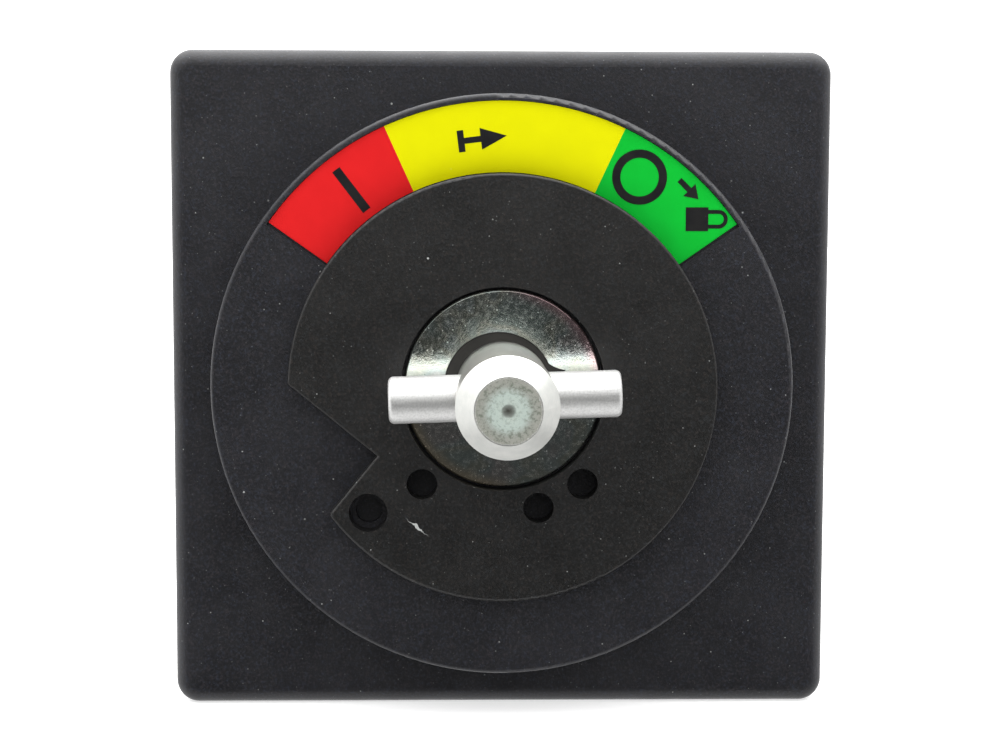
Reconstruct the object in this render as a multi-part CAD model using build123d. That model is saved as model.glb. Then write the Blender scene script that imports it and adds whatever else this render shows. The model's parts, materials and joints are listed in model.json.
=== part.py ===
"""Rotary battery isolator: a square moulded front with a raised position dial, a steel drive
shaft with a cross pin, and a single-pole knife contact behind it in an insulating base.

Every piece is drawn with the switch lying on its back: X to the right, Y up the front, and Z
as the height above the rear mounting face. save() stands each piece up, so that the front
looks along -Y and the top of the front points along +Z. Millimetres throughout.
"""
from build123d import *
import os
from math import asin, cos, degrees, radians, sin

# ---- driving dimensions -------------------------------------------------------------------
SIDE = 120.0            # square front and base, edge to edge
CORNER_R = 4.2          # upright corners of the front and base
WALL = 3.0              # moulded walls
RUNNING_GAP = 0.05      # radial clearance of a shaft in its bearing
CONTACT_GAP = 0.1       # clearance each side of a knife contact

# heights above the rear mounting face
DECK_LOW = 18.0
DECK_HIGH = 22.0
BASE_TOP = 42.0
COVER_LOW = 43.0        # the seal fills the millimetre between base and cover
PLATE_FACE = 62.0
RING_FACE = 72.5
HUB_FACE = 76.7
WASHER_FACE = 74.5
PIN_HEIGHT = 88.8
HEAD_LOW = 93.3
CHAMFER_LOW = 106.2
SHAFT_TIP = 111.3

# front
PLATE_FILLET = 3.0
RING_R = 51.8
HUB_R = 37.8
RIM_FILLET = 0.8
HUB_FILLET = 0.5
LABEL_R = 50.6
LABEL_FROM = 35.0       # degrees anticlockwise from +X
LABEL_TO = 144.8
LABEL_SPLITS = (64.8, 114.5)
POCKET_END_GAP = 0.6    # degrees of pocket left bare beyond each end of the label
POCKET_DEPTH = 0.8
LABEL_THICKNESS = 0.3
PRINT_THICKNESS = 0.05

# printed marks, as (radius from the axis, angle)
ON_MARK = (43.85, 127.5)
TRIP_BAR = (44.0, 99.7)
TRIP_TIP = (44.4, 89.2)
OFF_MARK = (44.3, 57.1)
LOCK_ARROW = (48.0, 46.8)
PADLOCK = (45.45, 41.0)

# middle of the dial
RECESS_R = 18.0
WASHER_R = 17.5
WASHER_BORE_R = 9.75
WASHER_BORE_AT = (-0.7, 0.25)   # the bore stands off the centre of the washer
KEY_TIP = (11.5, 16.5)          # point of the collar's key, as (radius, angle)
KEY_WAIST = (9.35, 9.8)         # middle of each hollow side, as (radius, degrees off the point)
KEY_ROOT = (8.8, 21.0)
HUB_SCREW_CIRCLE = 28.0
HUB_SCREW_ANGLES = (20, 130, 265)
HUB_SCREW_R = 1.5

# dial holes and notch, as (radius from the axis, angle)
INDEX_HOLES = ((22.0, 229.6), (21.9, 286.7), (21.85, 310.0))
INDEX_HOLE_R = 2.7
LOCK_HOLE = (32.25, 222.6)
LOCK_HOLE_R = 3.4
LOCK_PILOT_R = 2.4
BLIND_DEPTH = 2.0           # how far the holes go on into the cover
NOTCH_VERTEX = (25.1, 208.0)
NOTCH_SIDE_ANGLE = 140.8    # the other side stands square to this one

# shaft
HEAD_R = 8.5
SHAFT_R = 8.3
TIP_R = 5.55
CENTRE_MARK_R = 1.2
CENTRE_MARK_DEPTH = 1.4
SQUARE = 11.6
JOURNAL_R = 5.0
JOURNAL_END = 14.5
GROOVE_R = 4.5
GROOVE_LOW = 16.6
GROOVE_HIGH = 17.9
SQUARE_LOW = 23.5
SHOULDER = 53.0
PIN_R = 4.0
PIN_LENGTH = 39.4
PIN_TILT = 1.8              # the cross pin stands this far off level at rest
BUSH_R = 11.5

# turning range from rest, and the angle at which the knives are closed
TURN_TO_ON = 40.0
TURN_TO_LOCK = 50.0

# contacts and terminals
BLADE_R = 28.0
BLADE_THICKNESS = 3.0
BLADE_WIDTH = 12.0
BLADE_HUB_R = 15.5
REAR_BLADE_LOW = 28.0
FRONT_BLADE_LOW = 35.0
ROTOR_FLANGE_TOP = 26.0
ROTOR_FLANGE_R = 16.0
ROTOR_TOP = 41.3
HUB_SQUARE = 18.0
SPACER_R = 13.5
SPRING_BORE_R = 13.2
SPRING_R = 16.5
SPRING_THICKNESS = 0.9
SPRING_HEIGHT = 1.8
KNIFE_START = 20.5
RISER_START = 29.5
CONTACT_END = 53.0
CONTACT_THICKNESS = 3.8
FOOT_WIDTH = 20.0
STUD_X = 43.0
STUD_R = 5.0
STUD_END = 1.0
STUD_HOLE_R = 5.2
STUD_HEAD_HEIGHT = 6.4
HEX_FLATS = 16.0
BAR_THICKNESS = 4.0
RISER_THICKNESS = 3.5
TERMINAL_WASHER_R = 10.0
SPRING_WASHER_R = 8.8
TERMINAL_WASHER_LOW = DECK_LOW - 2.0
SPRING_WASHER_LOW = TERMINAL_WASHER_LOW - 2.2
NUT_LOW = SPRING_WASHER_LOW - 8.0

# detent wheel
WHEEL_R = 26.0
WHEEL_LOW = 47.0
WHEEL_HUB_R = 11.5
DETENT_TURNS = (38.0, -34.0, -50.0)
BALL_R = 4.0
STOP_RADIUS = 16.5
STOP_PIN_R = 2.5
PLATE_LOW = 44.0
PLATE_HIGH = 46.0
PLATE_SIDE = 92.0
STANDOFF_AT = 38.0
STANDOFF_R = 5.0
PLATE_SCREW_R = 2.0
PLATE_SCREW_LENGTH = 9.0
BALL_HEIGHT = (WHEEL_LOW + SHOULDER) / 2
BALL_CENTRE = WHEEL_R + BALL_R + 0.05
GUIDE_FROM = WHEEL_R + 1.0
GUIDE_TO = 45.0
GUIDE_WIDTH = 13.0
GUIDE_HIGH = 56.0
GUIDE_END_WALL = 2.5
SPRING_WIRE_R = 0.45
SPRING_TURN_R = 3.2
SPRING_TURNS = 4

# bearings
BUSH_LOW = SHOULDER + 3.0
SEAL_HEIGHT = 61.1
SEAL_WIRE_R = 1.0
SEAL_MIDDLE_R = 9.55
SEAL_GROOVE_R = 10.6
SEAL_GROOVE_WIDTH = 2.6
THRUST_WASHER_R = 14.0
THRUST_WASHER_HIGH = SHOULDER + 1.45
REAR_BUSH_R = 7.0
REAR_FLANGE_R = 9.0

# fixings
INSERT_AT = 50.0            # rear mounting inserts, 100 x 100
INSERT_R = 4.5
INSERT_BORE_R = 2.5
INSERT_DEPTH = 12.0
INSERT_COLUMN_R = 7.8
COVER_SCREW_X = 51.5
COVER_SCREW_Y = 30.0
COVER_SCREW_R = 2.0
COVER_SCREW_HEAD_R = 3.8
COVER_SCREW_HEAD_LOW = 26.6
COVER_SCREW_SEAT = 30.0
COUNTERBORE_R = 4.2
COVER_COLUMN_R = 6.0
COVER_INSERT_R = 3.2
COVER_INSERT_DEPTH = 9.0
CABLE_SLOT_WIDTH = 22.0
CABLE_SLOT_DEPTH = 15.0
BARRIER_FOOT_X = 6.0
BARRIER_SCREW_Y = 36.0
BARRIER_SCREW_R = 1.5
BARRIER_WALL = 3.0
BARRIER_CAP_R = 12.5
BARRIER_CAP_LOW = 7.0

LEFT_RIGHT = (-1, 1)
CORNERS = ((-1, -1), (1, -1), (1, 1), (-1, 1))


# ---- small helpers ------------------------------------------------------------------------
def polar(radius, angle):
    """Point at a radius and an angle, anticlockwise from +X."""
    return radius * cos(radians(angle)), radius * sin(radians(angle))


def disc(radius, low, high, x=0.0, y=0.0):
    """Upright cylinder between two heights."""
    body = Cylinder(radius, high - low, align=(Align.CENTER, Align.CENTER, Align.MIN))
    return Pos(x, y, low) * body


def ring(outer, inner, low, high, x=0.0, y=0.0):
    """Upright tube between two heights."""
    return disc(outer, low, high, x, y) - disc(inner, low - 1, high + 1, x, y)


def raised(sketch, low, high):
    """A flat outline given thickness between two heights."""
    return Pos(0, 0, low) * extrude(sketch, high - low)


def block(width, depth, low, high, x=0.0, y=0.0):
    """Box between two heights, centred on x, y."""
    return raised(Pos(x, y) * Rectangle(width, depth), low, high)


def square_slab(side, corner, low, high):
    """Square slab with rounded upright corners."""
    return raised(RectangleRounded(side, side, corner), low, high)


def sector(outer, inner, start, end):
    """Flat piece of a ring between two angles."""
    outer_arc = CenterArc((0, 0), outer, start, end - start)
    inner_arc = CenterArc((0, 0), inner, start, end - start)
    first = Line(inner_arc @ 0, outer_arc @ 0)
    last = Line(inner_arc @ 1, outer_arc @ 1)
    return make_face([outer_arc, inner_arc, first, last])


def edges_at(body, height):
    """Every edge that lies flat at one height."""
    return body.edges().filter_by_position(Axis.Z, height - 0.01, height + 0.01)


def turned(angle, shape):
    """The shape turned about the shaft axis."""
    return Rot(0, 0, angle) * shape


def save(node, *solids):
    """Stand the piece up and write it as one node."""
    upright = [Rot(90, 0, 0) * solid for solid in solids]
    shape = upright[0] if len(upright) == 1 else Compound(children=upright)
    export_step(shape, os.path.join("parts", node + ".step"))


# ---- front ---------------------------------------------------------------------------------
def front_cover():
    """Square cover with the raised ring, the label pocket and the shaft boss inside."""
    cover = square_slab(SIDE, CORNER_R, COVER_LOW, PLATE_FACE)
    cover = fillet(edges_at(cover, PLATE_FACE), PLATE_FILLET)
    dial = disc(RING_R, PLATE_FACE - 1, RING_FACE)
    dial = fillet(edges_at(dial, RING_FACE), RIM_FILLET)
    cover += dial

    inside = SIDE - 2 * WALL
    cover -= square_slab(inside, CORNER_R - 1, COVER_LOW - 1, PLATE_FACE - WALL)
    cover -= disc(RING_R - WALL, PLATE_FACE - WALL - 1, RING_FACE - WALL)
    cover += disc(BUSH_R + WALL, SHOULDER + 1.5, RING_FACE - 1)
    for side in LEFT_RIGHT:
        for end in LEFT_RIGHT:
            x = side * COVER_SCREW_X
            y = end * COVER_SCREW_Y
            cover += disc(COVER_INSERT_R + 1.8, COVER_LOW, PLATE_FACE - 1, x, y)
            cover -= disc(COVER_INSERT_R, COVER_LOW - 1, COVER_LOW + COVER_INSERT_DEPTH + 2, x, y)

    cover -= disc(BUSH_R, SHOULDER, RING_FACE + 1)
    pocket = sector(LABEL_R, HUB_R + 0.1, LABEL_FROM - POCKET_END_GAP, LABEL_TO + POCKET_END_GAP)
    cover -= raised(pocket, RING_FACE - POCKET_DEPTH, RING_FACE + 1)
    for radius, angle in INDEX_HOLES:
        cover -= disc(INDEX_HOLE_R + 0.2, RING_FACE - BLIND_DEPTH, RING_FACE + 1, *polar(radius, angle))
    cover -= disc(LOCK_PILOT_R, RING_FACE - BLIND_DEPTH, RING_FACE + 1, *polar(*LOCK_HOLE))
    for x, y in hub_screw_places():
        cover -= disc(HUB_SCREW_R + 0.2, RING_FACE - WALL - 1, RING_FACE + 1, x, y)
    return cover


def notch_outline():
    """Right-angled notch that opens through the edge of the dial hub."""
    reach = HUB_R
    vertex = Vector(*polar(*NOTCH_VERTEX))
    first = vertex + Vector(*polar(reach, NOTCH_SIDE_ANGLE))
    second = vertex + Vector(*polar(reach, NOTCH_SIDE_ANGLE + 90))
    corner = first + second - vertex
    return make_face(Polyline(vertex, first, corner, second, close=True))


def opens_notch(edge):
    """True for the two upright corners where the notch meets the rim of the hub."""
    centre = edge.center()
    return centre.X < 0 and Vector(centre.X, centre.Y).length > HUB_R - 1


def dial_hub():
    """Raised disc in the middle of the dial, with its notch, its holes and the washer recess."""
    hub = disc(HUB_R, RING_FACE, HUB_FACE)
    hub -= raised(notch_outline(), RING_FACE - 1, HUB_FACE + 1)
    hub = fillet(hub.edges().filter_by(Axis.Z).filter_by(opens_notch), RIM_FILLET)
    hub = fillet(edges_at(hub, HUB_FACE), HUB_FILLET)
    hub -= disc(RECESS_R, RING_FACE - 1, HUB_FACE + 1)
    for radius, angle in INDEX_HOLES:
        hub -= disc(INDEX_HOLE_R, RING_FACE - 1, HUB_FACE + 1, *polar(radius, angle))
    hub -= disc(LOCK_HOLE_R, RING_FACE - 1, HUB_FACE + 1, *polar(*LOCK_HOLE))
    for x, y in hub_screw_places():
        hub -= disc(HUB_SCREW_R, RING_FACE - 1, RING_FACE + 3, x, y)
    return hub


def hub_screw_places():
    """Three blind screws hold the dial hub from behind."""
    return [polar(HUB_SCREW_CIRCLE, angle) for angle in HUB_SCREW_ANGLES]


def hub_screws():
    screws = []
    for x, y in hub_screw_places():
        head = disc(2 * HUB_SCREW_R, RING_FACE - WALL - 2, RING_FACE - WALL, x, y)
        screws.append(head + disc(HUB_SCREW_R, RING_FACE - WALL - 1, RING_FACE + 3, x, y))
    return screws


# ---- label ---------------------------------------------------------------------------------
def label_field(start, end):
    """One coloured field of the position label."""
    floor = RING_FACE - POCKET_DEPTH
    return raised(sector(LABEL_R - 0.1, HUB_R + 0.2, start, end), floor, floor + LABEL_THICKNESS)


def bar(length, width):
    return Rectangle(length, width)


def arrow_head(length, width):
    """Triangle whose tip is at the origin, pointing along +X."""
    return make_face(Polyline((0, 0), (-length, width / 2), (-length, -width / 2), close=True))


def on_mark():
    """Upright stroke, set along the radius."""
    radius, angle = ON_MARK
    x, y = polar(radius, angle)
    return Pos(x, y) * Rot(0, 0, angle) * bar(8.9, 1.6)


def trip_mark():
    """Bar and arrow, pointing clockwise along the dial."""
    start = Vector(*polar(*TRIP_BAR))
    tip = Vector(*polar(*TRIP_TIP))
    run = (tip - start).length
    heading = degrees(asin((tip - start).Y / run))
    head = 4.6
    mark = bar(1.15, 3.8)
    mark += Pos((run - head) / 2, 0) * bar(run - head + 0.5, 1.05)
    mark += Pos(run, 0) * arrow_head(head, 3.8)
    return Pos(start.X, start.Y) * Rot(0, 0, heading) * mark


def off_mark():
    x, y = polar(*OFF_MARK)
    return Pos(x, y) * (Circle(4.85) - Circle(3.4))


def lock_arrow():
    """Small arrow from the off mark to the padlock."""
    x, y = polar(*LOCK_ARROW)
    length = 4.7
    head = 2.3
    mark = Pos(length / 2, 0) * arrow_head(head, 3.0)
    mark += Pos(-head / 2, 0) * bar(length - head + 0.2, 1.0)
    return Pos(x, y) * Rot(0, 0, -45) * mark


def padlock():
    """Padlock lying on its side, with its shackle to the right."""
    x, y = polar(*PADLOCK)
    body = 4.0
    line = 0.7
    reach = 1.8
    half = 1.65
    mark = bar(body, 4.2)
    shackle = Pos(body / 2 + reach / 2, 0) * bar(reach, 2 * half)
    shackle += Pos(body / 2 + reach, 0) * Circle(half)
    hollow = Pos(body / 2 + reach / 2, 0) * bar(reach, 2 * (half - line))
    hollow += Pos(body / 2 + reach, 0) * Circle(half - line)
    return Pos(x, y) * (mark + (shackle - hollow))


def label_symbols():
    """Printed marks: on, trip, off, arrow and padlock."""
    low = RING_FACE - POCKET_DEPTH + LABEL_THICKNESS
    marks = (on_mark(), trip_mark(), off_mark(), lock_arrow(), padlock())
    return [raised(mark, low, low + PRINT_THICKNESS) for mark in marks]


# ---- shaft and what turns with it ----------------------------------------------------------
def drive_shaft():
    """Turned shaft: rear journal, square drive, body, and head with a chamfer and centre mark."""
    shaft = disc(JOURNAL_R, JOURNAL_END, SQUARE_LOW)
    shaft = chamfer(edges_at(shaft, JOURNAL_END), 0.5)
    shaft += block(SQUARE, SQUARE, SQUARE_LOW, SHOULDER)
    shaft += disc(SHAFT_R, SHOULDER, HEAD_LOW)
    shaft += disc(HEAD_R, HEAD_LOW, CHAMFER_LOW)
    nose = SHAFT_TIP - CHAMFER_LOW
    shaft += Pos(0, 0, CHAMFER_LOW + nose / 2) * Cone(HEAD_R, TIP_R, nose)
    shaft -= Pos(0, 0, SHAFT_TIP - CENTRE_MARK_DEPTH / 2) * Cone(0, CENTRE_MARK_R, CENTRE_MARK_DEPTH)
    shaft -= ring(JOURNAL_R + 1, GROOVE_R, GROOVE_LOW, GROOVE_HIGH)
    shaft -= Pos(0, 0, PIN_HEIGHT) * Rot(0, 90, 0) * Cylinder(PIN_R, 4 * HEAD_R)
    return turned(PIN_TILT, shaft)


def cross_pin():
    """Dowel pin through the shaft, with domed ends."""
    pin = Rot(0, 90, 0) * Cylinder(PIN_R, PIN_LENGTH)
    pin = fillet(pin.edges().filter_by(GeomType.CIRCLE), 0.9)
    return turned(PIN_TILT, Pos(0, 0, PIN_HEIGHT) * pin)


def key_outline(gap):
    """Outline of the collar: a round that stands off centre, with one pointed key."""
    radius, angle = KEY_TIP
    tip = polar(radius + gap, angle)
    waist_radius, waist_turn = KEY_WAIST
    root_radius, root_turn = KEY_ROOT
    roots = [polar(root_radius + gap, angle + side * root_turn) for side in LEFT_RIGHT]
    waists = [polar(waist_radius + gap, angle + side * waist_turn) for side in LEFT_RIGHT]
    outline = Polyline(roots[0], (0, 0), roots[1])
    outline += ThreePointArc(roots[1], waists[1], tip)
    outline += ThreePointArc(tip, waists[0], roots[0])
    return make_face(outline) + Pos(*WASHER_BORE_AT) * Circle(WASHER_BORE_R - 0.1 + gap)


def front_washer():
    """Bright washer in the dial recess, notched for the key on the collar."""
    washer = disc(WASHER_R, RING_FACE + 0.1, WASHER_FACE)
    washer = fillet(edges_at(washer, WASHER_FACE), 0.4)
    return washer - raised(key_outline(0.1), RING_FACE - 1, WASHER_FACE + 1)


def shaft_collar():
    """Moulded collar that keys the washer to the shaft."""
    low = RING_FACE + 0.1
    high = WASHER_FACE - 0.2
    return raised(key_outline(0.0), low, high) - disc(SHAFT_R, low - 1, high + 1)


def detent_wheel():
    """Wheel on the square of the shaft, with detent notches and the slot for the stop pin."""
    wheel = disc(WHEEL_R, WHEEL_LOW, SHOULDER)
    for ball_angle in (90, 270):
        for turn in DETENT_TURNS:
            x, y = polar(WHEEL_R + BALL_R - 0.8, ball_angle - turn)
            wheel -= disc(BALL_R + 0.2, WHEEL_LOW - 1, SHOULDER + 1, x, y)
    wheel = chamfer(edges_at(wheel, SHOULDER), 0.5)
    wheel += disc(WHEEL_HUB_R, ROTOR_TOP, WHEEL_LOW)
    slot_start = -TURN_TO_ON - 0.3
    slot_end = TURN_TO_LOCK + 0.3
    slot = sector(STOP_RADIUS + STOP_PIN_R + 0.1, STOP_RADIUS - STOP_PIN_R - 0.1, slot_start, slot_end)
    wheel -= raised(slot, WHEEL_LOW - 1, SHOULDER + 1)
    for angle in (slot_start, slot_end):
        wheel -= disc(STOP_PIN_R + 0.1, WHEEL_LOW - 1, SHOULDER + 1, *polar(STOP_RADIUS, angle))
    return wheel - turned(PIN_TILT, block(SQUARE, SQUARE, ROTOR_TOP - 1, SHOULDER + 1))


def contact_rotor():
    """Insulating hub that carries the blades on the square of the shaft."""
    rotor = disc(ROTOR_FLANGE_R, SQUARE_LOW, ROTOR_FLANGE_TOP)
    rotor += blade_square(ROTOR_FLANGE_TOP, ROTOR_TOP)
    return rotor - turned(PIN_TILT, block(SQUARE, SQUARE, SQUARE_LOW - 1, ROTOR_TOP + 1))


def blade_square(low, high):
    """The rotor's outer square, set so that the blades meet the knives when turned to on."""
    return turned(-TURN_TO_ON, block(HUB_SQUARE, HUB_SQUARE, low, high))


def blade(low):
    """Copper bridge, closed on the knives when the shaft is turned fully on."""
    high = low + BLADE_THICKNESS
    outline = Circle(BLADE_HUB_R) + (Rectangle(2 * BLADE_R, BLADE_WIDTH) & Circle(BLADE_R))
    return turned(-TURN_TO_ON, raised(outline, low, high)) - blade_square(low - 1, high + 1)


def blade_spacer():
    high = FRONT_BLADE_LOW
    low = REAR_BLADE_LOW + BLADE_THICKNESS
    return disc(SPACER_R, low, high) - blade_square(low - 1, high + 1)


def disc_spring(low, high):
    """Conical spring washer that presses on a blade."""
    inner = (SPRING_BORE_R, low)
    outer = (SPRING_R, high - SPRING_THICKNESS)
    outer_top = (SPRING_R, high)
    inner_top = (SPRING_BORE_R, low + SPRING_THICKNESS)
    profile = Polyline(inner, outer, outer_top, inner_top, close=True)
    return revolve(Plane.XZ * make_face(profile), Axis.Z)


def disc_springs():
    top = FRONT_BLADE_LOW + BLADE_THICKNESS
    return [disc_spring(ROTOR_FLANGE_TOP, REAR_BLADE_LOW), disc_spring(top, top + SPRING_HEIGHT)]


def blade_retainer():
    low = FRONT_BLADE_LOW + BLADE_THICKNESS + SPRING_HEIGHT
    return disc(SPRING_R, low, ROTOR_TOP) - blade_square(low - 1, ROTOR_TOP + 1)


def retaining_ring():
    """Open ring in the groove of the rear journal."""
    clip = ring(7.2, GROOVE_R, GROOVE_LOW + 0.1, GROOVE_HIGH - 0.1)
    return clip - block(3.0, 10.0, JOURNAL_END, DECK_LOW, 0, -7.0)


# ---- bearings and detent parts that stay still ---------------------------------------------
def shaft_bush():
    """Plastic bush in the boss of the cover, with the groove for the O-ring."""
    bush = ring(BUSH_R, SHAFT_R + RUNNING_GAP, BUSH_LOW, RING_FACE - 0.2)
    groove_low = SEAL_HEIGHT - SEAL_GROOVE_WIDTH / 2
    return bush - ring(SEAL_GROOVE_R, SHAFT_R, groove_low, groove_low + SEAL_GROOVE_WIDTH)


def shaft_seal():
    return Pos(0, 0, SEAL_HEIGHT) * Torus(SEAL_MIDDLE_R, SEAL_WIRE_R)


def thrust_washer():
    return ring(THRUST_WASHER_R, SHAFT_R + RUNNING_GAP, SHOULDER + 0.05, THRUST_WASHER_HIGH)


def rear_bush():
    """Flanged bronze bush in the deck."""
    bush = disc(REAR_BUSH_R, DECK_LOW, DECK_HIGH + 0.5)
    bush += disc(REAR_FLANGE_R, DECK_HIGH, SQUARE_LOW - 0.1)
    return bush - disc(JOURNAL_R + RUNNING_GAP, DECK_LOW - 1, SQUARE_LOW)


def mechanism_plate():
    """Steel plate that carries the detent housings and the stop pin."""
    plate = square_slab(PLATE_SIDE, 6.0, PLATE_LOW, PLATE_HIGH)
    plate -= disc(WHEEL_HUB_R + 0.5, PLATE_LOW - 1, PLATE_HIGH + 1)
    plate -= disc(STOP_PIN_R, PLATE_LOW - 1, PLATE_HIGH + 1, STOP_RADIUS, 0)
    for side, end in CORNERS:
        x = side * STANDOFF_AT
        y = end * STANDOFF_AT
        plate -= disc(PLATE_SCREW_R + 0.1, PLATE_LOW - 1, PLATE_HIGH + 1, x, y)
    return plate


def plate_standoffs():
    """Hexagonal pillars from the deck to the mechanism plate."""
    pillars = []
    for side, end in CORNERS:
        x = side * STANDOFF_AT
        y = end * STANDOFF_AT
        pillar = raised(Pos(x, y) * RegularPolygon(STANDOFF_R, 6), DECK_HIGH, PLATE_LOW)
        pillars.append(pillar - disc(PLATE_SCREW_R, PLATE_LOW - PLATE_SCREW_LENGTH + 1, PLATE_LOW + 1, x, y))
    return pillars


def plate_screws():
    """Pan-head screws down into the pillars."""
    screws = []
    for side, end in CORNERS:
        x = side * STANDOFF_AT
        y = end * STANDOFF_AT
        head_top = PLATE_HIGH + 2.6
        head = fillet(edges_at(disc(3.8, PLATE_HIGH, head_top, x, y), head_top), 1.0)
        screw = head + disc(PLATE_SCREW_R, PLATE_HIGH - PLATE_SCREW_LENGTH, PLATE_HIGH + 0.5, x, y)
        screws.append(screw - block(5.0, 0.9, head_top - 1.0, head_top + 1, x, y))
    return screws


def detent_housings():
    """Two guides on the mechanism plate, each with a blind bore for a ball and its spring."""
    guides = []
    for end in LEFT_RIGHT:
        middle = end * (GUIDE_FROM + GUIDE_TO) / 2
        guide = block(GUIDE_WIDTH, GUIDE_TO - GUIDE_FROM, PLATE_HIGH, GUIDE_HIGH, 0, middle)
        guide = fillet(edges_at(guide, GUIDE_HIGH), 1.0)
        bore_from = GUIDE_FROM - 2
        bore_to = GUIDE_TO - GUIDE_END_WALL
        bore = Rot(90, 0, 0) * Cylinder(BALL_R + RUNNING_GAP, bore_to - bore_from)
        guides.append(guide - Pos(0, end * (bore_from + bore_to) / 2, BALL_HEIGHT) * bore)
    return guides


def detent_balls():
    """Steel balls at the height at which they ride on the rim of the wheel."""
    return [Pos(0, end * BALL_CENTRE, BALL_HEIGHT) * Sphere(BALL_R) for end in LEFT_RIGHT]


def detent_springs():
    """Compression springs behind the balls."""
    start = BALL_CENTRE + BALL_R + SPRING_WIRE_R
    length = GUIDE_TO - GUIDE_END_WALL - SPRING_WIRE_R - start
    springs = []
    for end in LEFT_RIGHT:
        path = Helix(pitch=length / SPRING_TURNS, height=length, radius=SPRING_TURN_R)
        section = Plane(origin=path @ 0, z_dir=path % 0) * Circle(SPRING_WIRE_R)
        spring = sweep(section, path=path)
        springs.append(Pos(0, end * start, BALL_HEIGHT) * Rot(-90 * end, 0, 0) * spring)
    return springs


def stop_pin():
    pin = disc(STOP_PIN_R, PLATE_LOW, SHOULDER - 0.5, STOP_RADIUS, 0)
    return chamfer(edges_at(pin, SHOULDER - 0.5), 0.5)


# ---- contacts and terminals ----------------------------------------------------------------
def fixed_contact(side):
    """Copper terminal bar, stepped up from the deck to its knife."""
    bar_top = DECK_HIGH + BAR_THICKNESS
    knife_low = REAR_BLADE_LOW + BLADE_THICKNESS + CONTACT_GAP
    knife_high = knife_low + CONTACT_THICKNESS
    knife_end = RISER_START + RISER_THICKNESS

    def length(start, end, width, low, high):
        return block(end - start, width, low, high, (start + end) / 2, 0)

    contact = length(RISER_START, CONTACT_END, FOOT_WIDTH, DECK_HIGH, bar_top)
    contact += length(RISER_START, knife_end, BLADE_WIDTH, DECK_HIGH, knife_high)
    contact += length(KNIFE_START, knife_end, BLADE_WIDTH, knife_low, knife_high)
    contact -= disc(STUD_HOLE_R, DECK_HIGH - 1, bar_top + 1, STUD_X, 0)
    return contact if side > 0 else mirror(contact, Plane.YZ)


def hexagon(flats, low, high, x):
    corner_radius = flats / 2 / cos(radians(30))
    return raised(Pos(x, 0) * RegularPolygon(corner_radius, 6), low, high)


def terminal_studs():
    """Bolts down through the bars and the deck, with their threads to the rear."""
    studs = []
    for side in LEFT_RIGHT:
        x = side * STUD_X
        low = DECK_HIGH + BAR_THICKNESS
        head = hexagon(HEX_FLATS, low, low + STUD_HEAD_HEIGHT, x)
        shank = disc(STUD_R, STUD_END, low + 1, x)
        shank = chamfer(edges_at(shank, STUD_END), 0.8)
        studs.append(head + shank)
    return studs


def terminal_washers():
    places = [side * STUD_X for side in LEFT_RIGHT]
    return [ring(TERMINAL_WASHER_R, STUD_R + 0.25, TERMINAL_WASHER_LOW, DECK_LOW, x) for x in places]


def spring_washers():
    """Split lock washers under the nuts."""
    washers = []
    for side in LEFT_RIGHT:
        x = side * STUD_X
        washer = ring(SPRING_WASHER_R, STUD_R + 0.1, SPRING_WASHER_LOW, TERMINAL_WASHER_LOW, x)
        cut = block(1.0, 6.0, SPRING_WASHER_LOW - 1, TERMINAL_WASHER_LOW + 1)
        washers.append(washer - Pos(x, -7.0, 0) * Rot(0, 0, 20) * cut)
    return washers


def terminal_nuts():
    nuts = []
    for side in LEFT_RIGHT:
        x = side * STUD_X
        nut = hexagon(HEX_FLATS, NUT_LOW, SPRING_WASHER_LOW, x)
        rounded = disc(HEX_FLATS / 2 + 0.9, NUT_LOW, SPRING_WASHER_LOW, x)
        nut &= chamfer(edges_at(rounded, NUT_LOW), 0.9)
        nuts.append(nut - disc(STUD_R, NUT_LOW - 1, SPRING_WASHER_LOW + 1, x))
    return nuts


# ---- base ----------------------------------------------------------------------------------
def cable_slot():
    """Round-bottomed slot through a side wall, open to the rear."""
    outline = RectangleRounded(2 * CABLE_SLOT_DEPTH, CABLE_SLOT_WIDTH, 5.0)
    return Rot(0, 90, 0) * extrude(outline, 1.5 * WALL, both=True)


def base_housing():
    """Insulating base: a deck between the terminal side and the contact side."""
    base = square_slab(SIDE, CORNER_R, 0, BASE_TOP)
    inside = SIDE - 2 * WALL
    base -= square_slab(inside, CORNER_R - 1, -1, DECK_LOW)
    base -= square_slab(inside, CORNER_R - 1, DECK_HIGH, BASE_TOP + 1)
    base = chamfer(edges_at(base, 0).filter_by(on_outline), 0.6)
    for side, end in CORNERS:
        x = side * INSERT_AT
        y = end * INSERT_AT
        base += disc(INSERT_COLUMN_R, 0, DECK_LOW + 1, x, y)
        base -= disc(INSERT_R, -1, INSERT_DEPTH + 0.5, x, y)
        x = side * COVER_SCREW_X
        y = end * COVER_SCREW_Y
        base += disc(COVER_COLUMN_R, 0, BASE_TOP, x, y)
        base -= disc(COUNTERBORE_R, -1, COVER_SCREW_SEAT, x, y)
        base -= disc(COVER_SCREW_R + 0.3, COVER_SCREW_SEAT - 1, BASE_TOP + 1, x, y)
    for side in LEFT_RIGHT:
        base -= Pos(side * SIDE / 2, 0, 0) * cable_slot()
        base -= disc(STUD_HOLE_R, DECK_LOW - 1, DECK_HIGH + 1, side * STUD_X, 0)
    base -= disc(REAR_BUSH_R, DECK_LOW - 1, DECK_HIGH + 1)
    for end in LEFT_RIGHT:
        base -= disc(BARRIER_SCREW_R, DECK_LOW - 1, DECK_HIGH, BARRIER_FOOT_X, end * BARRIER_SCREW_Y)
    return base


def on_outline(edge):
    """True for an edge on the outer outline of the base."""
    centre = edge.center()
    return max(abs(centre.X), abs(centre.Y)) > SIDE / 2 - 1.5


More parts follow.
